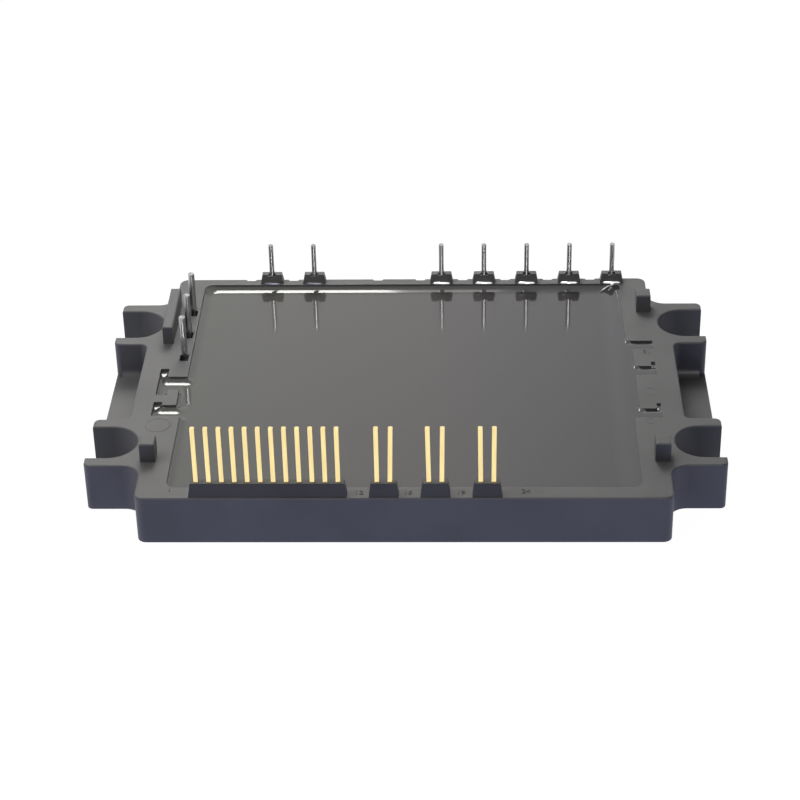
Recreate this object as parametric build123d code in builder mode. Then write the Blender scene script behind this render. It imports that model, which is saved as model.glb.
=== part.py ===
from build123d import *
import math
import os

# Open-frame power switching module: a resin-filled moulded frame on a metal plate.
# Millimetres. The origin is at the centre of the underside, +Z up, terminals upward,
# the row of fine control pins along the front (-Y) and the power pins at the back.

# moulded frame
frame_top = 8.6
frame_foot = 0.3
body_length = 83.7
frame_depth = 70.0
waist_reach = 3.35
ear_reach = 9.15
ear_start = 12.0
ear_width = 13.8
flange_top = 2.0
flange_cove = 1.5
body_corner = 1.5
ear_corner = 1.0
ear_root_radius = 3.0
waist_radius = 1.3
top_edge_radius = 0.3

# screw notches in the ears, and the screw holes of the plate below them
screw_inset = 3.4
notch_width = 9.0
screw_hole = 4.5

# window that holds the resin
front_wall = 3.1
back_wall = 2.15
side_wall = 4.7
window_corner = 1.5
board_ledge = 1.5
wall_relief = 1.0
resin_drop = 1.1

# metal plate let into the underside
plate_thickness = 2.0
plate_margin_x = 2.0
plate_margin_y = 1.6
plate_corner = 2.0
plate_clearance = 0.15
lug_corner = 1.0

# insulating substrate and copper
substrate_thickness = 0.64
substrate_gap = 0.35
substrate_edge = 0.4
copper_thickness = 0.3
track_gap = 0.8
landing_length = 3.2
landing_depth = 3.0

# chips and bond wires
leg_count = 6
igbt_size = 6.0
diode_width = 6.0
diode_length = 4.0
chip_thickness = 0.3
chip_gap = 1.6
chip_row_back = 13.5
wire_section = 0.3
wire_rise = 0.9
wire_inset = 1.0
wire_reach = 4.2
wire_spacing = 2.4

# control board and its driver chips
board_level = 5.0
board_thickness = 0.8
board_depth = 19.0
board_side_gap = 2.4
driver_count = 4
driver_length = 10.0
driver_depth = 5.6
driver_height = 1.1
driver_spacing = 15.5

# control pins, along the front
control_pitch = 2.0
control_first_inset = 9.85
control_groups = (range(0, 12), range(14, 16), range(18, 20), range(22, 24))
control_section = 0.7
control_bend = 0.42
control_height = 10.0
control_row_gap = 1.2
control_foot = 5.2
control_tip = 0.2
control_lean = {15: 0.25, 18: -0.14, 19: 0.16, 22: -0.1, 23: 0.05}

# rails that the control pins stand in
rail_margin = 1.3
rail_depth = 1.85
rail_height = 2.35
rail_draft = 8.0

# power pins, along the back
power_pitch = 7.62
power_first_inset = 16.7
power_places = (0, 1, 4, 5, 6, 7, 8)
power_diameter = 0.9
power_height = 7.55
power_row_gap = 0.95
power_foot = 4.6
power_tip = 0.15

# pedestals that the power pins stand in, and the half-round marks between them
pedestal_length = 4.1
pedestal_depth = 1.75
pedestal_height = 1.7
pedestal_draft = 10.0
pedestal_slot = 1.3
pedestal_slot_depth = 0.3
mark_radius = 0.95
mark_depth = 0.35
mark_places = (-0.5, 0.5, 2.5, 3.5, 4.5, 5.5, 6.5, 7.5)

# side pins of the left wall, each with a small well in front of it
side_pitch = 7.62
side_first_inset = 11.4
side_pin_count = 3
side_pin_diameter = 1.1
side_row_gap = 1.2
side_pin_foot = 4.4
foot_well_width = 1.5
foot_well_length = 2.0
foot_well_depth = 1.6

# empty terminal pockets of the left wall, each in front of a tongue, with a slot beside
# the tongue and, in the first, a nook beside the next one
pocket_insets = (33.75, 42.75)
pocket_lengths = (4.25, 3.3)
pocket_reach = 4.75
pocket_depth = 3.0
pocket_slot_width = 1.45
pocket_slot_lengths = (2.5, 0.95)
pocket_nook_width = 1.95
pocket_nook_length = 1.6

# wells of the right wall
well_insets = (22.3, 30.7, 44.1)
well_slot_lengths = (0.0, 1.4, 1.6)
well_length = 2.8
well_reach = 4.5
well_slot_width = 0.7

# raised posts and bar on the frame
post_height = 3.3
post_length_x = 2.45
post_length_y = 2.7
post_inset = 1.1
post_front_inset = 11.6
post_back_inset = 11.1
bar_width = 1.75
bar_inset = 0.3
bar_back_inset = 9.1
bar_length = 13.8
post_edge_radius = 0.3

# worked out from the sizes above
waist_length = body_length + 2 * waist_reach
ear_span = body_length + 2 * ear_reach
ear_end = ear_start + ear_width
back_edge = frame_depth / 2
notch_radius = notch_width / 2
screw_x = ear_span / 2 - screw_inset
screw_y = ear_start + ear_width / 2
screw_places = [(sx * screw_x, sy * screw_y) for sx in (-1, 1) for sy in (-1, 1)]
window_length = body_length - 2 * side_wall
window_front = front_wall - back_edge
window_back = back_edge - back_wall
window_depth = window_back - window_front
window_y = (window_front + window_back) / 2
lower_depth = window_depth - board_ledge
lower_y = window_y + board_ledge / 2
resin_top = frame_top - resin_drop
pocket_floor = frame_top - pocket_depth
plate_length = body_length - 2 * plate_margin_x
plate_depth = frame_depth - 2 * plate_margin_y
substrate_length = window_length - 2 * substrate_gap
substrate_depth = lower_depth - 2 * substrate_gap
substrate_top = plate_thickness + substrate_thickness
copper_top = substrate_top + copper_thickness
chip_top = copper_top + chip_thickness
board_top = board_level + board_thickness
control_y = control_row_gap - back_edge
control_start_x = control_first_inset - body_length / 2
control_places = [n for group in control_groups for n in group]
power_y = back_edge - power_row_gap
power_start_x = power_first_inset - body_length / 2
power_tip_z = frame_top + power_height
side_x = -window_length / 2 - side_row_gap
control_x = [control_start_x + control_pitch * n for n in control_places]
power_x = [power_start_x + power_pitch * n for n in power_places]
side_y = [back_edge - side_first_inset - side_pitch * n for n in range(side_pin_count)]
tongue_y = [back_edge - inset for inset in pocket_insets]
well_y = [back_edge - inset for inset in well_insets]
left_inner = -window_length / 2
right_inner = window_length / 2
nook_x = left_inner - pocket_reach + pocket_nook_width / 2

# copper: landings for the side pins at the left, then one wide track under each leg
substrate_left = -substrate_length / 2 + substrate_edge
tracks_left = substrate_left + landing_length + track_gap
tracks_length = substrate_length / 2 - substrate_edge - tracks_left
track_pitch = (tracks_length + track_gap) / leg_count
track_length = track_pitch - track_gap
leg_x = [tracks_left + track_length / 2 + track_pitch * n for n in range(leg_count)]
igbt_y = lower_y + chip_row_back
diode_y = igbt_y - igbt_size / 2 - chip_gap - diode_length / 2
track_back = lower_y + substrate_depth / 2 - substrate_edge
track_front = diode_y - diode_length / 2 - track_gap
strip_back = track_front - track_gap
strip_front = lower_y - substrate_depth / 2 + substrate_edge

os.makedirs("parts", exist_ok=True)

# Metal plate: flush with the mounting face, with a lug and a screw hole in each notch
with BuildPart() as base_plate:
    with BuildSketch(Plane.XY):
        RectangleRounded(plate_length, plate_depth, plate_corner)
    extrude(amount=plate_thickness)
    lug_length = ear_span / 2 - plate_length / 2 + plate_corner
    for sx in (-1, 1):
        with BuildSketch(Plane.XY):
            with Locations(*[(sx * (ear_span - lug_length) / 2, sy * screw_y) for sy in (-1, 1)]):
                RectangleRounded(lug_length, notch_width - 2 * plate_clearance, lug_corner)
        extrude(amount=plate_thickness)
    with Locations(*[(x, y, plate_thickness) for x, y in screw_places]):
        Hole(screw_hole / 2)
base_plate.part.label = "base_plate"
export_step(base_plate.part, "parts/base_plate.step")

# Insulating substrate, bonded to the plate
with BuildPart() as substrate:
    with BuildSketch(Plane.XY.offset(plate_thickness)):
        with Locations((0, lower_y)):
            RectangleRounded(substrate_length, substrate_depth, window_corner)
    extrude(amount=substrate_thickness)
substrate.part.label = "insulating_substrate"
export_step(substrate.part, "parts/insulating_substrate.step")

# Copper: a collector track under each chip pair, an emitter strip in front of it, and
# a landing for each side pin
with BuildPart() as copper_tracks:
    with BuildSketch(Plane.XY.offset(substrate_top)):
        with Locations(*[(x, (track_back + track_front) / 2) for x in leg_x]):
            Rectangle(track_length, track_back - track_front)
        with Locations(*[(x, (strip_back + strip_front) / 2) for x in leg_x]):
            Rectangle(track_length, strip_back - strip_front)
        with Locations(*[(substrate_left + landing_length / 2, y) for y in side_y]):
            Rectangle(landing_length, landing_depth)
    extrude(amount=copper_thickness)
copper_tracks.part.label = "copper_tracks"
export_step(copper_tracks.part, "parts/copper_tracks.step")

# Switch chips and their diodes, one pair on each track
chips = []
for n, x in enumerate(leg_x):
    with BuildPart() as igbt_chip:
        with BuildSketch(Plane.XY.offset(copper_top)):
            with Locations((x, igbt_y)):
                Rectangle(igbt_size, igbt_size)
        extrude(amount=chip_thickness)
    igbt_chip.part.label = f"igbt_chip_{n + 1}"
    export_step(igbt_chip.part, f"parts/igbt_chip_{n + 1}.step")
    chips.append(igbt_chip.part)
    with BuildPart() as diode_chip:
        with BuildSketch(Plane.XY.offset(copper_top)):
            with Locations((x, diode_y)):
                Rectangle(diode_width, diode_length)
        extrude(amount=chip_thickness)
    diode_chip.part.label = f"diode_chip_{n + 1}"
    export_step(diode_chip.part, f"parts/diode_chip_{n + 1}.step")
    chips.append(diode_chip.part)

# Bond wires: on each leg, arches from the switch chip to the diode, and from the diode
# down to the emitter strip
arch_top = chip_top + wire_rise
arches = [
    (igbt_y - wire_inset, chip_top, diode_y + wire_inset, chip_top),
    (diode_y - wire_inset, chip_top, track_front - wire_reach, copper_top),
]
with BuildPart() as bond_wires:
    for x in leg_x:
        for side in (-0.5, 0.5):
            for start_y, start_z, end_y, end_z in arches:
                with BuildSketch(Plane.YZ.offset(x + side * wire_spacing - wire_section / 2)):
                    with BuildLine():
                        Polyline(
                            (start_y, start_z),
                            (start_y, arch_top),
                            (end_y, arch_top),
                            (end_y, end_z),
                            (end_y + wire_section, end_z),
                            (end_y + wire_section, arch_top - wire_section),
                            (start_y - wire_section, arch_top - wire_section),
                            (start_y - wire_section, start_z),
                            close=True,
                        )
                    make_face()
                extrude(amount=wire_section)
bond_wires.part.label = "bond_wires"
export_step(bond_wires.part, "parts/bond_wires.step")

# Control board: its front edge lies on the ledge of the frame, under the pin feet
board_length = window_length - 2 * board_side_gap
board_y = window_front + board_depth / 2
with BuildPart() as control_board:
    with BuildSketch(Plane.XY.offset(board_level)):
        with Locations((0, board_y)):
            Rectangle(board_length, board_depth)
    extrude(amount=board_thickness)
control_board.part.label = "control_board"
export_step(control_board.part, "parts/control_board.step")

# Driver chips on the board, behind the pin feet
drivers = []
driver_y = window_front + board_depth - board_side_gap - driver_depth / 2
for n in range(driver_count):
    with BuildPart() as driver_chip:
        with BuildSketch(Plane.XY.offset(board_top)):
            with Locations(((n - (driver_count - 1) / 2) * driver_spacing, driver_y)):
                Rectangle(driver_length, driver_depth)
        extrude(amount=driver_height)
    driver_chip.part.label = f"driver_chip_{n + 1}"
    export_step(driver_chip.part, f"parts/driver_chip_{n + 1}.step")
    drivers.append(driver_chip.part)

# Control pins: square wire, bent inward at the foot onto the control board
pins = []
rail_top = frame_top + rail_height
for place, x in zip(control_places, control_x):
    half = control_section / 2
    lean = control_lean.get(place, 0.0)
    with BuildPart() as control_pin:
        with BuildSketch(Plane.YZ.offset(x - half)) as elbow:
            with BuildLine():
                Polyline(
                    (control_y - half, rail_top),
                    (control_y - half, board_top),
                    (control_y + control_foot, board_top),
                    (control_y + control_foot, board_top + control_section),
                    (control_y + half, board_top + control_section),
                    (control_y + half, rail_top),
                    close=True,
                )
            make_face()
            corner = elbow.vertices().group_by(Axis.Y)[0].sort_by(Axis.Z)[0]
            fillet(corner, control_bend)
        extrude(amount=control_section)
        with BuildSketch(Plane.XY.offset(rail_top)):
            with Locations((x, control_y)):
                Rectangle(control_section, control_section)
        shaft = math.hypot(control_height, lean)
        extrude(amount=shaft, dir=(lean, 0, control_height))
        chamfer(control_pin.faces().sort_by(Axis.Z)[-1].edges(), control_tip)
    control_pin.part.label = f"control_pin_{place + 1:02d}"
    export_step(control_pin.part, f"parts/control_pin_{place + 1:02d}.step")
    pins.append(control_pin.part)

# Power pins: round wire with a foot that lies on the copper
for place, x in zip(power_places, power_x):
    radius = power_diameter / 2
    with BuildPart() as power_pin:
        with BuildSketch(Plane.XY.offset(copper_top)):
            with Locations((x, power_y)):
                Circle(radius)
        extrude(amount=power_tip_z - copper_top)
        chamfer(power_pin.faces().sort_by(Axis.Z)[-1].edges(), power_tip)
        with BuildSketch(Plane.XY.offset(copper_top)):
            with Locations((x, power_y - power_foot / 2)):
                Rectangle(power_diameter, power_foot)
        extrude(amount=radius)
    power_pin.part.label = f"power_pin_{place + 1}"
    export_step(power_pin.part, f"parts/power_pin_{place + 1}.step")
    pins.append(power_pin.part)

# Side pins: a little thicker, in the left wall, with their feet turned to the right
for n, y in enumerate(side_y):
    radius = side_pin_diameter / 2
    with BuildPart() as side_pin:
        with BuildSketch(Plane.XY.offset(copper_top)):
            with Locations((side_x, y)):
                Circle(radius)
        extrude(amount=power_tip_z - copper_top)
        chamfer(side_pin.faces().sort_by(Axis.Z)[-1].edges(), power_tip)
        with BuildSketch(Plane.XY.offset(copper_top)):
            with Locations((side_x + side_pin_foot / 2, y)):
                Rectangle(side_pin_foot, side_pin_diameter)
        extrude(amount=radius)
    side_pin.part.label = f"side_pin_{n + 1}"
    export_step(side_pin.part, f"parts/side_pin_{n + 1}.step")
    pins.append(side_pin.part)


# Outline of the left wall's pockets and of its relief between them
def pocket_outline():
    for y, length, slot in zip(tongue_y, pocket_lengths, pocket_slot_lengths):
        with Locations((left_inner - pocket_reach / 2, y - length / 2)):
            Rectangle(pocket_reach, length)
        with Locations((left_inner - pocket_reach + pocket_slot_width / 2, y + slot / 2)):
            Rectangle(pocket_slot_width, slot)
    pocket_front = tongue_y[0] - pocket_lengths[0]
    with Locations((nook_x, pocket_front - pocket_nook_length / 2)):
        Rectangle(pocket_nook_width, pocket_nook_length)
    with Locations((left_inner - wall_relief / 2, (pocket_front + tongue_y[1]) / 2)):
        Rectangle(wall_relief, pocket_front - tongue_y[1])


# Outline of the right wall's wells and of its relief from the first to the last
def well_outline():
    for y, slot in zip(well_y, well_slot_lengths):
        with Locations((right_inner + well_reach / 2, y - well_length / 2)):
            Rectangle(well_reach, well_length)
        if slot > 0:
            with Locations((right_inner + well_reach - well_slot_width / 2, y + slot / 2)):
                Rectangle(well_slot_width, slot)
    with Locations((right_inner + wall_relief / 2, (well_y[0] + well_y[-1]) / 2)):
        Rectangle(wall_relief, well_y[0] - well_y[-1])


# Rounds the corners of an outline that lie at the given distances from the middle lines
def round_corners(outline, radius, x=None, y=None):
    near = 0.01
    found = outline.vertices()
    if x is not None:
        found = found.filter_by(lambda v: abs(abs(v.X) - x) < near)
    if y is not None:
        found = found.filter_by(lambda v: abs(abs(v.Y) - y) < near)
    fillet(found, radius)


# Moulded frame: one piece with its ears, flanges, rails, pedestals, posts and pockets,
# moulded round the pins
with BuildPart() as case_frame:
    with BuildSketch(Plane.XY.offset(frame_foot)) as outline:
        Rectangle(body_length, frame_depth)
        Rectangle(waist_length, 2 * ear_end)
        for sy in (-1, 1):
            with Locations((0, sy * screw_y)):
                Rectangle(ear_span, ear_width)
        round_corners(outline, ear_corner, x=ear_span / 2)
        round_corners(outline, body_corner, y=back_edge)
        round_corners(outline, ear_root_radius, x=body_length / 2, y=ear_end)
        round_corners(outline, waist_radius, x=waist_length / 2, y=ear_start)
        with Locations(*screw_places):
            Circle(notch_radius, mode=Mode.SUBTRACT)
        for x, y in screw_places:
            side = 1 if x > 0 else -1
            with Locations((x + side * notch_radius, y)):
                Rectangle(notch_width, notch_width, mode=Mode.SUBTRACT)
    extrude(amount=frame_top - frame_foot)
    fillet(case_frame.faces().sort_by(Axis.Z)[-1].outer_wire().edges(), top_edge_radius)

    # low flanges between the ears, flush with their ends
    with BuildSketch(Plane.XY.offset(frame_foot)):
        Rectangle(ear_span, 2 * (ear_start + ear_corner))
    extrude(amount=flange_top - frame_foot)

    # hollow curve from each flange up to the ears beside it
    cove_length = ear_span - 2 * ear_corner
    with BuildSketch(Plane.YZ.offset(-cove_length / 2)):
        for sy in (-1, 1):
            with Locations((sy * (ear_start - flange_cove / 2), flange_top + flange_cove / 2)):
                Rectangle(flange_cove, flange_cove)
        for sy in (-1, 1):
            with Locations((sy * (ear_start - flange_cove), flange_top + flange_cove)):
                Circle(flange_cove, mode=Mode.SUBTRACT)
    extrude(amount=cove_length)

    # seat of the metal plate and the channels of its lugs
    with BuildSketch(Plane.XY.offset(frame_foot)):
        RectangleRounded(
            plate_length + 2 * plate_clearance, plate_depth + 2 * plate_clearance, plate_corner
        )
        for x, y in screw_places:
            with Locations((x / 2, y)):
                Rectangle(abs(x), notch_width)
    extrude(amount=plate_thickness - frame_foot, mode=Mode.SUBTRACT)

    # window for the resin, narrower below the board ledge
    with BuildSketch(Plane.XY.offset(board_level)):
        with Locations((0, window_y)):
            RectangleRounded(window_length, window_depth, window_corner)
    extrude(amount=frame_top - board_level, mode=Mode.SUBTRACT)
    with BuildSketch(Plane.XY.offset(plate_thickness)):
        with Locations((0, lower_y)):
            RectangleRounded(window_length, lower_depth, window_corner)
    extrude(amount=board_level - plate_thickness, mode=Mode.SUBTRACT)

    # rails of the control pins
    for group in control_groups:
        rail_x = control_start_x + control_pitch * (group[0] + group[-1]) / 2
        with BuildSketch(Plane.XY.offset(frame_top)):
            with Locations((rail_x, control_y)):
                Rectangle(control_pitch * (len(group) - 1) + 2 * rail_margin, rail_depth)
        extrude(amount=rail_height, taper=rail_draft)

    # pedestals of the power pins, each with a shallow slot in front of its pin
    for x in power_x:
        with BuildSketch(Plane.XY.offset(frame_top)):
            with Locations((x, power_y)):
                Rectangle(pedestal_length, pedestal_depth)
        extrude(amount=pedestal_height, taper=pedestal_draft)
        with BuildSketch(Plane.XY.offset(frame_top + pedestal_height - pedestal_slot_depth)):
            with Locations((x, power_y - pedestal_depth / 2)):
                Rectangle(pedestal_slot, pedestal_depth)
        extrude(amount=pedestal_slot_depth, mode=Mode.SUBTRACT)

    # half-round marks in the back edge, midway between neighbouring places
    with BuildSketch(Plane.XY.offset(frame_top - mark_depth)):
        with Locations(*[(power_start_x + power_pitch * n, back_edge) for n in mark_places]):
            Circle(mark_radius)
    extrude(amount=mark_depth, mode=Mode.SUBTRACT)

    # posts and the long bar beside the side pins
    post_x = body_length / 2 - post_inset
    post_front_y = post_front_inset - back_edge
    post_back_y = back_edge - post_back_inset
    bar_x = bar_inset - body_length / 2
    bar_y = back_edge - bar_back_inset - bar_length / 2
    with BuildSketch(Plane.XY.offset(frame_top)):
        with Locations((-post_x, post_front_y), (post_x, post_front_y), (post_x, post_back_y)):
            Rectangle(post_length_x, post_length_y)
        with Locations((bar_x, bar_y)):
            Rectangle(bar_width, bar_length)
    extrude(amount=post_height)
    fillet(case_frame.edges().group_by(Axis.Z)[-1], post_edge_radius)

    # small wells in front of the side pins
    with BuildSketch(Plane.XY.offset(frame_top - foot_well_depth)):
        for y in side_y:
            with Locations((side_x, y - foot_well_length / 2)):
                Rectangle(foot_well_width, foot_well_length)
    extrude(amount=foot_well_depth, mode=Mode.SUBTRACT)

    # empty terminal pockets of the left wall, and the wells of the right wall
    with BuildSketch(Plane.XY.offset(pocket_floor)):
        pocket_outline()
        well_outline()
    extrude(amount=pocket_depth, mode=Mode.SUBTRACT)

    add(pins, mode=Mode.SUBTRACT)
case_frame.part.label = "case_frame"
export_step(case_frame.part, "parts/case_frame.step")

# Resin: fills the window and the pockets to just under the top, round all it holds
with BuildPart() as potting_resin:
    with BuildSketch(Plane.XY.offset(board_level)):
        with Locations((0, window_y)):
            RectangleRounded(window_length, window_depth, window_corner)
    extrude(amount=resin_top - board_level)
    with BuildSketch(Plane.XY.offset(plate_thickness)):
        with Locations((0, lower_y)):
            RectangleRounded(window_length, lower_depth, window_corner)
    extrude(amount=board_level - plate_thickness)
    with BuildSketch(Plane.XY.offset(pocket_floor)):
        pocket_outline()
        well_outline()
    extrude(amount=resin_top - pocket_floor)
    held = [substrate.part, copper_tracks.part, bond_wires.part, control_board.part]
    add(held + chips + drivers + pins, mode=Mode.SUBTRACT)
potting_resin.part.label = "potting_resin"
export_step(potting_resin.part, "parts/potting_resin.step")
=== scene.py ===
import math
import bmesh
import bpy
import numpy
from mathutils import Matrix, Vector


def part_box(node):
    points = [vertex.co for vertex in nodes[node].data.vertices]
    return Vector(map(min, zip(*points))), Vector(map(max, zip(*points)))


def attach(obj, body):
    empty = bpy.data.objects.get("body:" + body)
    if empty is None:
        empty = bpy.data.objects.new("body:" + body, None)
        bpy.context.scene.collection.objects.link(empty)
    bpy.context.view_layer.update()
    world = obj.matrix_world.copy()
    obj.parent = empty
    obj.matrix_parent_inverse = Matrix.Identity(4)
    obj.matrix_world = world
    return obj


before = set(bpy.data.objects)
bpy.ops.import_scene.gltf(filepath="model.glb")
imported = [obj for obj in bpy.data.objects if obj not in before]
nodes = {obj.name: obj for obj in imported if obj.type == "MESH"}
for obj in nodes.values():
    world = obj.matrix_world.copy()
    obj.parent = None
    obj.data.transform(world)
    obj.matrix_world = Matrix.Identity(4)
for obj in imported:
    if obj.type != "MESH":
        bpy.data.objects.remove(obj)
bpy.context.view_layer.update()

mm = 0.001
resinDrop = 1.1         # the resin stands this far below the frame's top
windowGap = 0.35        # between the ceramic and the window's walls
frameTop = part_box("potting_resin")[1].z / mm + resinDrop
print("stage: frame loaded,", len(nodes), "nodes")


# small tools for node materials

wideSpan = (0.3, 0.7)        # most of a noise's values lie in here
narrowSpan = (0.35, 0.65)    # a narrower one makes a stronger mottle


def newMaterial(name):
    material = bpy.data.materials.new(name)
    material.use_nodes = True
    tree = material.node_tree
    return material, tree, tree.nodes["Principled BSDF"]


def addNode(tree, kind, **values):
    node = tree.nodes.new(kind)
    for key, value in values.items():
        if hasattr(node, key):
            setattr(node, key, value)
        else:
            node.inputs[key.replace("_", " ")].default_value = value
    return node


def objectPoint(tree):
    return addNode(tree, "ShaderNodeTexCoord").outputs["Object"]


def noiseAt(tree, scale, detail=3.0, roughness=0.5):
    noise = addNode(tree, "ShaderNodeTexNoise", Scale=scale, Detail=detail, Roughness=roughness)
    tree.links.new(objectPoint(tree), noise.inputs["Vector"])
    return noise.outputs["Fac"]


def axesOf(tree, source):
    split = addNode(tree, "ShaderNodeSeparateXYZ")
    tree.links.new(source, split.inputs["Vector"])
    return split.outputs


def mathOf(tree, operation, *terms):
    # each term is a socket or a plain number
    node = addNode(tree, "ShaderNodeMath", operation=operation)
    for n, term in enumerate(terms):
        if isinstance(term, float):
            node.inputs[n].default_value = term
        else:
            tree.links.new(term, node.inputs[n])
    return node.outputs[0]


def spanOf(tree, source, low, high, **values):
    span = addNode(tree, "ShaderNodeMapRange", From_Min=low, From_Max=high, **values)
    tree.links.new(source, span.inputs["Value"])
    return span.outputs["Result"]


def shaderMix(tree, factor, first, second):
    mix = addNode(tree, "ShaderNodeMixShader")
    if isinstance(factor, float):
        mix.inputs["Fac"].default_value = factor
    else:
        tree.links.new(factor, mix.inputs["Fac"])
    tree.links.new(first, mix.inputs[1])
    tree.links.new(second, mix.inputs[2])
    return mix.outputs[0]


def rampOf(tree, source, stops):
    ramp = addNode(tree, "ShaderNodeValToRGB")
    elements = ramp.color_ramp.elements
    while len(elements) < len(stops):
        elements.new(0.5)
    for element, (place, colour) in zip(elements, stops):
        element.position = place
        element.color = (*colour, 1.0)
    tree.links.new(source, ramp.inputs["Fac"])
    return ramp.outputs["Color"]


def bumpFrom(tree, shader, source, strength, distance):
    bump = addNode(tree, "ShaderNodeBump", Strength=strength, Distance=distance)
    tree.links.new(source, bump.inputs["Height"])
    tree.links.new(bump.outputs["Normal"], shader.inputs["Normal"])


def roughnessFrom(tree, shader, source, low, high):
    span = spanOf(tree, source, *wideSpan, To_Min=low, To_Max=high)
    tree.links.new(span, shader.inputs["Roughness"])


def shade(colour, factor):
    return tuple(min(1.0, channel * factor) for channel in colour)


def mottleOf(tree, source, colour, spread, span):
    # the colour goes darker and lighter with the noise, by its spread
    stops = zip(span, (shade(colour, 1 - spread), shade(colour, 1 + spread)))
    return rampOf(tree, source, list(stops))


def finishNode(names, material):
    # the mesh keeps its form; only what fills its material slots changes
    for name in names:
        slots = nodes[name].data.materials
        for index in range(len(slots)):
            slots[index] = material
        if not slots:
            slots.append(material)


# camera: the place, turn and lens that the photograph was taken with

camera = {
    "location": (10.145, -321.829, 205.726),
    "down": 31.983,
    "yaw": 2.0526,
    "roll": -1.2248,
    "lens": 101.493,
    "sensor": 36.0,
    "clip": (0.01, 20.0),
}


def makeCamera():
    data = bpy.data.cameras.new("camera")
    data.lens = camera["lens"]
    data.sensor_width = camera["sensor"]
    data.clip_start, data.clip_end = camera["clip"]
    holder = bpy.data.objects.new("camera", data)
    turn = (
        Matrix.Rotation(math.radians(camera["yaw"]), 4, "Z")
        @ Matrix.Rotation(math.radians(90 - camera["down"]), 4, "X")
        @ Matrix.Rotation(math.radians(camera["roll"]), 4, "Z")
    )
    holder.matrix_world = Matrix.Translation(Vector(camera["location"]) * mm) @ turn
    bpy.context.scene.collection.objects.link(holder)
    bpy.context.scene.camera = holder


makeCamera()


# room: white floor and world for the camera and for gloss, softer light for matt faces

room = {
    "floorHalf": 3.0,
    "floorBounce": (0.69, 0.74, 1.17),
    "underBounce": (0.10, 0.11, 0.16),
    "underHalf": (0.055, 0.023),    # the ears' outline, where the part keeps light off the floor
    "shadowShare": 0.05,
    "shadowTone": 0.95,
    "glow": 1.04,
    "overhead": (0.10, 0.10, 0.10),
    "behind": (0.08, 0.08, 0.08),
    "ahead": (0.01, 0.01, 0.02),
    "depthSpan": (-0.8, 0.6),       # the world goes from the level ahead to the one behind
    "heightSpan": (0.1, 0.95),      # and from these to the one overhead
}


def seenRay(tree):
    # 1 for rays from the camera, and for mirror and glass rays
    path = addNode(tree, "ShaderNodeLightPath").outputs
    seen = mathOf(tree, "MAXIMUM", path["Is Camera Ray"], path["Is Glossy Ray"])
    return mathOf(tree, "MAXIMUM", seen, path["Is Transmission Ray"])


def makeWorld():
    world = bpy.data.worlds.new("studio")
    bpy.context.scene.world = world
    world.use_nodes = True
    tree = world.node_tree
    tree.nodes.clear()
    axes = axesOf(tree, addNode(tree, "ShaderNodeTexCoord").outputs["Generated"])
    depth = spanOf(tree, axes["Y"], *room["depthSpan"])
    level = rampOf(tree, depth, [(0.0, room["ahead"]), (1.0, room["behind"])])
    blend = addNode(tree, "ShaderNodeMix", data_type="RGBA")
    blend.inputs["B"].default_value = (*room["overhead"], 1.0)
    tree.links.new(spanOf(tree, axes["Z"], *room["heightSpan"]), blend.inputs["Factor"])
    tree.links.new(level, blend.inputs["A"])
    soft = addNode(tree, "ShaderNodeBackground", Strength=1.0)
    tree.links.new(blend.outputs["Result"], soft.inputs["Color"])
    white = addNode(tree, "ShaderNodeBackground", Color=(1.0, 1.0, 1.0, 1.0), Strength=1.0)
    chosen = shaderMix(tree, seenRay(tree), soft.outputs[0], white.outputs[0])
    tree.links.new(chosen, addNode(tree, "ShaderNodeOutputWorld").inputs["Surface"])


def makeFloor():
    mesh = bpy.data.meshes.new("floor")
    half = room["floorHalf"]
    corners = [(-half, -half, 0.0), (half, -half, 0.0), (half, half, 0.0), (-half, half, 0.0)]
    mesh.from_pydata(corners, [], [(0, 1, 2, 3)])
    floor = bpy.data.objects.new("floor", mesh)
    bpy.context.scene.collection.objects.link(floor)
    material, tree, shader = newMaterial("pale floor")
    tree.nodes.remove(shader)
    bounce = addNode(tree, "ShaderNodeEmission", Strength=1.0)
    axes = axesOf(tree, objectPoint(tree))
    within = []
    for axis, reach in zip("XY", room["underHalf"]):
        within.append(mathOf(tree, "LESS_THAN", mathOf(tree, "ABSOLUTE", axes[axis]), reach))
    levels = [(0.0, room["floorBounce"]), (1.0, room["underBounce"])]
    under = mathOf(tree, "MULTIPLY", *within)
    tree.links.new(rampOf(tree, under, levels), bounce.inputs["Color"])
    pale = addNode(tree, "ShaderNodeBsdfDiffuse", Color=(*(room["shadowTone"],) * 3, 1.0))
    glow = addNode(tree, "ShaderNodeEmission", Color=(1.0, 1.0, 1.0, 1.0), Strength=room["glow"])
    shown = shaderMix(tree, room["shadowShare"], glow.outputs[0], pale.outputs[0])
    chosen = shaderMix(tree, seenRay(tree), bounce.outputs[0], shown)
    tree.links.new(chosen, tree.nodes["Material Output"].inputs["Surface"])
    mesh.materials.append(material)


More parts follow.
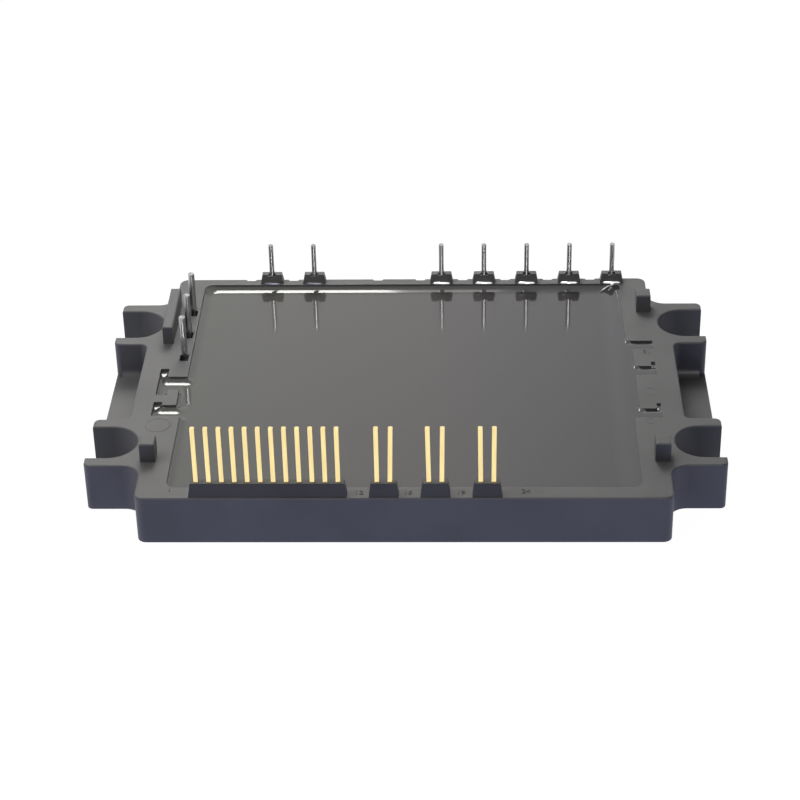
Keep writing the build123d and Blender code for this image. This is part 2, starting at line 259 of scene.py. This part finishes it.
# millimetres and watts; the strips overhead and the front lamp show in gloss alone, as the
# bright line along the back and the shine on pins and resin, while the ceiling, the side
# and the key light the matt faces and stay out of the gloss
lamps = {
    "strip": {
        "at": (-135, 220, 450),
        "size": (232, 240),
        "watts": 2.5,
        "tint": (1.0, 0.99, 0.96),
        "glossOnly": True,
    },
    "strip end": {
        "at": (2, 220, 450),
        "size": (42, 240),
        "watts": 0.06,
        "tint": (1.0, 0.99, 0.97),
        "glossOnly": True,
    },
    "front": {
        "at": (60, -600, 360),
        "aim": (-55, -10, 0),
        "size": (150, 110),
        "watts": 3.6,
        "tint": (1.0, 1.0, 1.0),
        "glossOnly": True,
    },
    "ceiling": {
        "at": (-170, 110, 380),
        "size": (400, 300),
        "watts": 0.37,
        "tint": (1.0, 1.0, 1.0),
        "glossOnly": False,
    },
    "side": {
        "at": (-170, -40, 165),
        "aim": (-50, -20, 0),
        "size": (110, 90),
        "watts": 0.20,
        "tint": (1.0, 0.99, 0.96),
        "glossOnly": False,
    },
    "key": {
        "at": (-20, 165, 180),
        "aim": (-30, 20, 0),
        "spread": 100,
        "size": (100, 100),
        "watts": 0.18,
        "tint": (1.0, 0.98, 0.94),
        "glossOnly": False,
    },
}


def makeLamps():
    for name, lamp in lamps.items():
        data = bpy.data.lights.new(name, "AREA")
        data.shape = "RECTANGLE"
        data.size = lamp["size"][0] * mm
        data.size_y = lamp["size"][1] * mm
        data.energy = lamp["watts"]
        data.color = lamp["tint"]
        holder = bpy.data.objects.new(name, data)
        holder.location = Vector(lamp["at"]) * mm
        if "aim" in lamp:
            aim = Vector(lamp["aim"]) * mm - holder.location
            holder.rotation_euler = aim.to_track_quat("-Z", "Y").to_euler()
        if "spread" in lamp:
            data.spread = math.radians(lamp["spread"])
        if lamp["glossOnly"]:
            holder.visible_diffuse = False
        else:
            holder.visible_glossy = False
        bpy.context.scene.collection.objects.link(holder)


makeWorld()
makeFloor()
makeLamps()
print("stage: camera, room and lamps made")


# moulded frame: dark grey filled plastic with a fine grain

framePlastic = {
    "colour": (0.112, 0.112, 0.114),
    "mottle": 0.07,
    "mottleScale": 90.0,
    "roughness": (0.42, 0.55),
    "specular": 0.16,
    "grainScale": 3200.0,
    "grainDepth": 0.02 * mm,
    "grainStrength": 0.35,
    "railPaintedShade": 0.58,      # painted shade: the faces of the pin carriers along the front are darkened in the colour
    "railFront": -0.0315,   # they stand in front of this y, and above the frame's top
    "railBlend": 0.05,
}


def makeFramePlastic():
    material, tree, shader = newMaterial("frame plastic")
    cloud = noiseAt(tree, framePlastic["mottleScale"], detail=4.0)
    mottle = mottleOf(tree, cloud, framePlastic["colour"], framePlastic["mottle"], narrowSpan)
    axes = axesOf(tree, objectPoint(tree))
    # painted shade on the pin carriers' faces, above the frame's top and in front of railFront
    railStart = frameTop + framePlastic["railBlend"]
    above = spanOf(tree, axes["Z"], frameTop * mm, railStart * mm)
    ahead = mathOf(tree, "LESS_THAN", axes["Y"], framePlastic["railFront"])
    shadeMix = addNode(tree, "ShaderNodeMix", data_type="RGBA", blend_type="MULTIPLY")
    shadeMix.inputs["B"].default_value = (*(framePlastic["railPaintedShade"],) * 3, 1.0)
    tree.links.new(mathOf(tree, "MULTIPLY", above, ahead), shadeMix.inputs["Factor"])
    tree.links.new(mottle, shadeMix.inputs["A"])
    tree.links.new(shadeMix.outputs["Result"], shader.inputs["Base Color"])
    roughnessFrom(tree, shader, cloud, *framePlastic["roughness"])
    shader.inputs["Specular IOR Level"].default_value = framePlastic["specular"]
    grain = noiseAt(tree, framePlastic["grainScale"], detail=2.0)
    bumpFrom(tree, shader, grain, framePlastic["grainStrength"], framePlastic["grainDepth"])
    return material


softEdge = {"frameWidth": 0.14 * mm, "pinWidth": 0.12 * mm, "segments": 2, "sharpAngle": 40}


def softenEdges(name, width):
    bevel = nodes[name].modifiers.new("soft edges", "BEVEL")
    bevel.width = width
    bevel.segments = softEdge["segments"]
    bevel.limit_method = "ANGLE"
    bevel.angle_limit = math.radians(softEdge["sharpAngle"])
    evened = nodes[name].modifiers.new("even normals", "WEIGHTED_NORMAL")
    evened.keep_sharp = True


plasticMaterial = makeFramePlastic()
finishNode(["case_frame"], plasticMaterial)
softenEdges("case_frame", softEdge["frameWidth"])
print("stage: frame plastic done")


# potting resin: glossy grey, a little uneven; painted light: its colour is lighter and slightly
# olive at the left and darker and bluish at the right, for light that falls from the left

resin = {
    "left": (0.067, 0.068, 0.063),
    "middle": (0.063, 0.059, 0.058),
    "right": (0.040, 0.038, 0.043),
    "across": (-0.038, 0.036),      # from the left colour's place to the right one's
    "roughness": (0.05, 0.08),
    "ior": 1.6,
    "waveScale": 55.0,
    "waveDepth": 0.05 * mm,
    "waveStrength": 0.25,
}


def makeResin():
    material, tree, shader = newMaterial("potting resin")
    across = spanOf(tree, axesOf(tree, objectPoint(tree))["X"], *resin["across"])
    # painted light and shade: the resin's colour goes from lighter at the left to darker at the
    # right
    stops = [(0.0, resin["left"]), (0.5, resin["middle"]), (1.0, resin["right"])]
    tree.links.new(rampOf(tree, across, stops), shader.inputs["Base Color"])
    wave = noiseAt(tree, resin["waveScale"], detail=2.0)
    roughnessFrom(tree, shader, wave, *resin["roughness"])
    shader.inputs["IOR"].default_value = resin["ior"]
    bumpFrom(tree, shader, wave, resin["waveStrength"], resin["waveDepth"])
    return material


resinMaterial = makeResin()
finishNode(["potting_resin"], resinMaterial)
print("stage: resin done")


# pins: pale gold plate in front, tinned wire at the back and the left

metals = {
    "gold": {"colour": (1.0, 0.78, 0.38), "roughness": (0.16, 0.28), "streak": 0.06},
    "tin": {"colour": (0.42, 0.42, 0.43), "roughness": (0.20, 0.34), "streak": 0.18},
    "aluminium": {"colour": (0.72, 0.73, 0.74), "roughness": (0.25, 0.40), "streak": 0.08},
    "copper": {"colour": (0.80, 0.42, 0.28), "roughness": (0.25, 0.40), "streak": 0.10},
    "bond wire": {"colour": (0.80, 0.80, 0.80), "roughness": (0.20, 0.30), "streak": 0.05},
    # lit and shaded copies of one lead metal for the lead edges; the darker one is painted shade
    "lit lead": {"colour": (0.93, 0.93, 0.95), "roughness": (0.12, 0.18), "streak": 0.04},
    "shaded lead": {"colour": (0.13, 0.13, 0.15), "roughness": (0.40, 0.50), "streak": 0.15},
}
# drawn wire: the noise is pulled out along the pin, so it runs in fine streaks
drawn = {"scale": 2600.0, "along": 0.08, "depth": 0.01 * mm, "strength": 0.2}


def makeMetal(name):
    metal = metals[name]
    material, tree, shader = newMaterial(name)
    stretch = addNode(tree, "ShaderNodeMapping")
    stretch.inputs["Scale"].default_value = (1.0, 1.0, drawn["along"])
    tree.links.new(objectPoint(tree), stretch.inputs["Vector"])
    noise = addNode(tree, "ShaderNodeTexNoise", Scale=drawn["scale"], Detail=3.0)
    tree.links.new(stretch.outputs["Vector"], noise.inputs["Vector"])
    streaks = noise.outputs["Fac"]
    colour = mottleOf(tree, streaks, metal["colour"], metal["streak"], narrowSpan)
    tree.links.new(colour, shader.inputs["Base Color"])
    roughnessFrom(tree, shader, streaks, *metal["roughness"])
    shader.inputs["Metallic"].default_value = 1.0
    bumpFrom(tree, shader, streaks, drawn["strength"], drawn["depth"])
    return material


def nodesLike(start):
    return [name for name in nodes if name.startswith(start)]


metalMaterials = {name: makeMetal(name) for name in metals}
finishNode(nodesLike("control_pin_"), metalMaterials["gold"])
finishNode(nodesLike("power_pin_") + nodesLike("side_pin_"), metalMaterials["tin"])
finishNode(["base_plate"], metalMaterials["aluminium"])
finishNode(["copper_tracks"], metalMaterials["copper"])
finishNode(["bond_wires"], metalMaterials["bond wire"])
for name in nodesLike("control_pin_") + nodesLike("power_pin_") + nodesLike("side_pin_"):
    softenEdges(name, softEdge["pinWidth"])
print("stage: pins and plate done")


# what the resin covers: ceramic, board and chips

plain = {
    "ceramic": {"colour": (0.80, 0.79, 0.75), "roughness": 0.6, "scale": 900.0},
    "board": {"colour": (0.03, 0.16, 0.07), "roughness": 0.45, "scale": 1500.0},
    "silicon": {"colour": (0.10, 0.11, 0.14), "roughness": 0.15, "scale": 700.0},
    "driver plastic": {"colour": (0.02, 0.02, 0.022), "roughness": 0.55, "scale": 2500.0},
}
uneven = {"colour": 0.12, "roughness": 0.15, "depth": 0.01 * mm, "strength": 0.2}


def makePlain(name):
    finish = plain[name]
    material, tree, shader = newMaterial(name)
    noise = noiseAt(tree, finish["scale"], detail=3.0)
    colour = mottleOf(tree, noise, finish["colour"], uneven["colour"], wideSpan)
    tree.links.new(colour, shader.inputs["Base Color"])
    smoother = finish["roughness"] * (1 - uneven["roughness"])
    rougher = finish["roughness"] * (1 + uneven["roughness"])
    roughnessFrom(tree, shader, noise, smoother, rougher)
    bumpFrom(tree, shader, noise, uneven["strength"], uneven["depth"])
    return material


finishNode(["insulating_substrate"], makePlain("ceramic"))
finishNode(["control_board"], makePlain("board"))
finishNode(nodesLike("igbt_chip_") + nodesLike("diode_chip_"), makePlain("silicon"))
finishNode(nodesLike("driver_chip_"), makePlain("driver plastic"))
print("stage: inner pieces done")


def makePiece(name, build, material, smooth=True):
    # a new piece from a filled bmesh, riding on the one body
    mesh = bpy.data.meshes.new(name)
    build.to_mesh(mesh)
    build.free()
    piece = bpy.data.objects.new(name, mesh)
    mesh.materials.append(material)
    for polygon in mesh.polygons:
        polygon.use_smooth = smooth
    bpy.context.scene.collection.objects.link(piece)
    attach(piece, "root")


# lead edges: a thin rounded edge of metal shows at the front foot of each pedestal

leadEdge = {
    "length": 3.0,
    "radius": 0.32,
    "setBack": 1.30,        # from the back of the pin to the edge's crown
    "endTaper": 0.35,
    "endSize": 0.35,
    "steps": 6,
    "shadedCount": 2,         # the first two, at the left, get the darker copy of the metal: painted shade
}


def makeLeadEdges():
    for index, pinName in enumerate(sorted(nodesLike("power_pin_"))):
        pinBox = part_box(pinName)
        x = (pinBox[0].x + pinBox[1].x) / 2 / mm
        y = pinBox[1].y / mm - leadEdge["setBack"] - leadEdge["radius"]
        half = leadEdge["length"] / 2
        inner = half - leadEdge["endTaper"]
        places = (-half, -inner, inner, half)
        build = bmesh.new()
        rows = []
        for place, size in zip(places, (leadEdge["endSize"], 1.0, 1.0, leadEdge["endSize"])):
            row = []
            for step in range(leadEdge["steps"] + 1):
                turn = math.radians(90 * step / leadEdge["steps"])
                out = leadEdge["radius"] * (1 - size * math.cos(turn))
                up = leadEdge["radius"] * size * math.sin(turn)
                row.append(build.verts.new(Vector((x + place, y + out, frameTop + up)) * mm))
            rows.append(row)
        for first, second in zip(rows, rows[1:]):
            for n in range(leadEdge["steps"]):
                build.faces.new((first[n], second[n], second[n + 1], first[n + 1]))
        # painted shade: the first leads take the darker copy of the metal
        finish = "shaded lead" if index < leadEdge["shadedCount"] else "lit lead"
        makePiece(f"lead_edge_{index + 1}", build, metalMaterials[finish])


makeLeadEdges()
print("stage: lead edges done")


# resin surface: the resin climbs every wall that it meets in a small hollow curve, highest
# where it wets the tongues of the empty terminal places

climb = {
    "back": (0.70, 2.42),    # rise at the wall, and how far it reaches from it, in mm
    "front": (0.30, 1.00),
    "left": (0.50, 1.90),
    "tongue": (0.59, 2.09),
    "tongue end": (0.60, 1.20),
    "slot end": (0.42, 2.20),
    "pocket": (0.20, 0.90),
}
surface = {
    "fineStep": 0.07,
    "stepGrowth": 0.12,
    "overlap": 0.18,        # how far the sheet runs into the walls
    "lift": 0.012,
    "blend": 4.0,
    "flat": 0.01,           # a face within this of the top belongs to it
    "corner": 2.2,          # rounded corners count with the wall behind or in front of them
    "slack": 0.05,          # at the window's sides
    "sideways": 0.9,        # a wall that faces x by more than this runs straight along y
    "turned": 0.5,          # and one counts as facing a side from this on
    "leftWall": 8,          # shorter walls than this are the pockets'
    "slotEnd": 1.6,         # and of theirs, shorter ones than this end a slot
    "beadTrace": 0.002,
}
# on the right the resin stands level with the frame: it slopes up to the window's edge, fills
# the wells and sinks only at their back walls, where it ends in a bead at each corner
shelf = {
    "rise": 1.085,
    "reach": 4.0,
    "dip": 0.46,
    "dipReach": 1.4,
    "beadHeight": 0.45,
    "beadRadius": 0.85,
    "beadPlace": (0.35, -0.25),
    "beadWall": 1.5,        # shorter back walls have no bead
    "dipPower": 1.5,
    "mouth": 0.4,           # the dip starts over this width
    "slack": 0.1,           # at the window's right side
    "backGap": 5,           # walls nearer the back than this are the window's
}


def topOutline(name):
    # edges round the flat top of a CAD node, in millimetres, each with the resin at its left
    mesh = nodes[name].data
    place = nodes[name].matrix_world
    points = [place @ vertex.co / mm for vertex in mesh.vertices]
    top = max(point.z for point in points)
    found = {}
    for polygon in mesh.polygons:
        ring = list(polygon.vertices)
        if min(points[n].z for n in ring) < top - surface["flat"]:
            continue
        for a, b in zip(ring, ring[1:] + ring[:1]):
            edge = [tuple(round(c, 3) for c in points[n].xy) for n in (a, b)]
            key = tuple(sorted(edge))
            if key in found:
                found[key] = None
            else:
                found[key] = edge
    return [edge for edge in found.values() if edge], top


def facingOf(start, end):
    # unit vector from a wall towards the resin
    length = math.hypot(end[0] - start[0], end[1] - start[1])
    return (start[1] - end[1]) / length, (end[0] - start[0]) / length, length


def wallClimb(start, end, low, high, inner):
    x = (start[0] + end[0]) / 2
    y = (start[1] + end[1]) / 2
    facingX, facingY, length = facingOf(start, end)
    inside = inner[0] - surface["slack"] < x < inner[1] + surface["slack"]
    if inside and y > high[1] - surface["corner"]:
        return climb["back"]
    if inside and y < low[1] + surface["corner"]:
        return climb["front"]
    straight = abs(facingX) > surface["sideways"] and length > surface["leftWall"]
    if inside and x < 0 and straight:
        return climb["left"]
    if x > 0:
        return None
    if facingY < -surface["turned"]:
        return climb["slot end"] if length < surface["slotEnd"] else climb["tongue"]
    return climb["tongue end"] if facingX < -surface["turned"] else climb["pocket"]


def gridLines(low, high, walls):
    lines = [low]
    while lines[-1] < high:
        gap = min(abs(lines[-1] - wall) for wall in walls)
        lines.append(lines[-1] + surface["fineStep"] + surface["stepGrowth"] * gap)
    return numpy.array(lines)


def wallDistance(gridX, gridY, start, end):
    (ax, ay), (bx, by) = start, end
    span = (bx - ax) ** 2 + (by - ay) ** 2
    share = numpy.clip(((gridX - ax) * (bx - ax) + (gridY - ay) * (by - ay)) / span, 0, 1)
    return numpy.hypot(gridX - ax - share * (bx - ax), gridY - ay - share * (by - ay))


def insideOutline(gridX, gridY, outline):
    crossings = numpy.zeros(gridX.shape, dtype=int)
    for (ax, ay), (bx, by) in outline:
        if ay != by:
            reached = (ay > gridY) != (by > gridY)
            crossings += reached & (gridX < ax + (gridY - ay) * (bx - ax) / (by - ay))
    return crossings % 2 == 1


def shelfHeight(gridX, gridY, outline, edgeX, backY):
    slope = numpy.clip(1 - (edgeX - gridX) / shelf["reach"], 0, 1)
    height = shelf["rise"] * slope * slope * (3 - 2 * slope)
    beads = numpy.zeros(gridX.shape)
    for start, end in outline:
        facingX, facingY, length = facingOf(start, end)
        left = min(start[0], end[0])
        inWindow = left < edgeX - shelf["slack"] or start[1] > backY - shelf["backGap"]
        if inWindow or facingY > -surface["turned"]:
            continue
        near = numpy.clip(1 - wallDistance(gridX, gridY, start, end) / shelf["dipReach"], 0, 1)
        mouth = numpy.clip((gridX - left + shelf["slack"]) / shelf["mouth"], 0, 1)
        height -= shelf["dip"] * near ** shelf["dipPower"] * mouth
        if length > shelf["beadWall"]:
            beadX = left + shelf["beadPlace"][0]
            beadY = start[1] + shelf["beadPlace"][1]
            away = numpy.hypot(gridX - beadX, gridY - beadY) / shelf["beadRadius"]
            beads += shelf["beadHeight"] * numpy.clip(1 - away ** 2, 0, 1) ** 2
    return numpy.clip(height, 0, shelf["rise"]), beads


def makeResinSurface():
    outline, top = topOutline("potting_resin")
    starts = numpy.array([edge[0] for edge in outline])
    low = starts.min(axis=0)
    high = starts.max(axis=0)
    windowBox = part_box("insulating_substrate")
    inner = (windowBox[0].x / mm - windowGap, windowBox[1].x / mm + windowGap)
    margin = surface["overlap"]
    wallsX, wallsY = (sorted({round(v, 2) for v in starts[:, axis]}) for axis in (0, 1))
    xs = gridLines(low[0] - margin, high[0] + margin, wallsX)
    ys = gridLines(low[1] - margin, high[1] + margin, wallsY)
    gridX, gridY = numpy.meshgrid(xs, ys, indexing="ij")
    inResin = insideOutline(gridX, gridY, outline)
    height = numpy.zeros(gridX.shape)
    nearest = numpy.full(gridX.shape, 1e9)
    for start, end in outline:
        away = wallDistance(gridX, gridY, start, end)
        nearest = numpy.minimum(nearest, away)
        found = wallClimb(start, end, low, high, inner)
        if found:
            away = numpy.where(~inResin & (away < 2 * margin), -away, away)
            curve = found[0] * numpy.clip(1 - away / found[1], 0, None) ** 3
            height += curve ** surface["blend"]
    raised, beads = shelfHeight(gridX, gridY, outline, inner[1], high[1])
    height = (height + raised ** surface["blend"]) ** (1 / surface["blend"])
    height = top + numpy.minimum(height + surface["lift"], shelf["rise"] + surface["lift"]) + beads
    kept = inResin | (nearest < margin) | (beads > surface["beadTrace"])
    build = bmesh.new()
    grid = {}
    for i in range(len(xs) - 1):
        for j in range(len(ys) - 1):
            ring = [(i, j), (i + 1, j), (i + 1, j + 1), (i, j + 1)]
            if not all(kept[corner] for corner in ring):
                continue
            for corner in ring:
                if corner not in grid:
                    place = Vector((xs[corner[0]], ys[corner[1]], height[corner]))
                    grid[corner] = build.verts.new(place * mm)
            build.faces.new([grid[corner] for corner in ring])
    print("resin surface faces:", len(build.faces), "walls:", len(outline))
    makePiece("resin_surface", build, resinMaterial)


makeResinSurface()
print("stage: resin surface done")


# moulded marks: pin numbers beside the rails, and the rings that ejector pins leave

marks = {
    "digitHeight": 1.5,
    "digitRaise": 0.07,
    "numbers": [
        ("1", -36.4, -32.6),
        ("12", -6.85, -33.5),
        ("15", 0.74, -33.5),
        ("19", 8.94, -33.5),
        ("24", 19.0, -33.2),
        ("31", 40.5, 8.9),
    ],
    "rings": [(-40.4, -13.9, 2.0), (40.2, -3.9, 1.1), (39.6, -12.9, 0.8)],    # x, y, radius
    "ringWidth": 0.22,
    "ringRaise": 0.05,
    "ringSink": -0.01,      # the ring's two feet lie this far in the frame
    "ringParts": 40,
}


def makePinNumbers(top):
    build = bmesh.new()
    for text, x, y in marks["numbers"]:
        curve = bpy.data.curves.new("number", "FONT")
        curve.body = text
        curve.size = marks["digitHeight"]
        curve.extrude = marks["digitRaise"]
        curve.align_x = "CENTER"
        curve.align_y = "CENTER"
        holder = bpy.data.objects.new("number", curve)
        bpy.context.scene.collection.objects.link(holder)
        shown = holder.evaluated_get(bpy.context.evaluated_depsgraph_get())
        mesh = bpy.data.meshes.new_from_object(shown)
        bpy.data.objects.remove(holder)
        mesh.transform(Matrix.Scale(mm, 4) @ Matrix.Translation((x, y, top)))
        build.from_mesh(mesh)
        bpy.data.meshes.remove(mesh)
    makePiece("pin_numbers", build, plasticMaterial, smooth=False)


def makeRingMarks(top):
    build = bmesh.new()
    half = marks["ringWidth"] / 2
    rises = [(-half, marks["ringSink"]), (0, marks["ringRaise"]), (half, marks["ringSink"])]
    for x, y, radius in marks["rings"]:
        rows = []
        for n in range(marks["ringParts"]):
            turn = 2 * math.pi * n / marks["ringParts"]
            row = []
            for out, up in rises:
                across = x + (radius + out) * math.cos(turn)
                along = y + (radius + out) * math.sin(turn)
                row.append(build.verts.new(Vector((across, along, top + up)) * mm))
            rows.append(row)
        for first, second in zip(rows, rows[1:] + rows[:1]):
            for n in range(len(rises) - 1):
                build.faces.new((first[n], first[n + 1], second[n + 1], second[n]))
    makePiece("ring_marks", build, plasticMaterial, smooth=False)


makePinNumbers(frameTop)
makeRingMarks(frameTop)
print("stage: moulded marks done")


bpy.context.scene.view_settings.view_transform = "Standard"
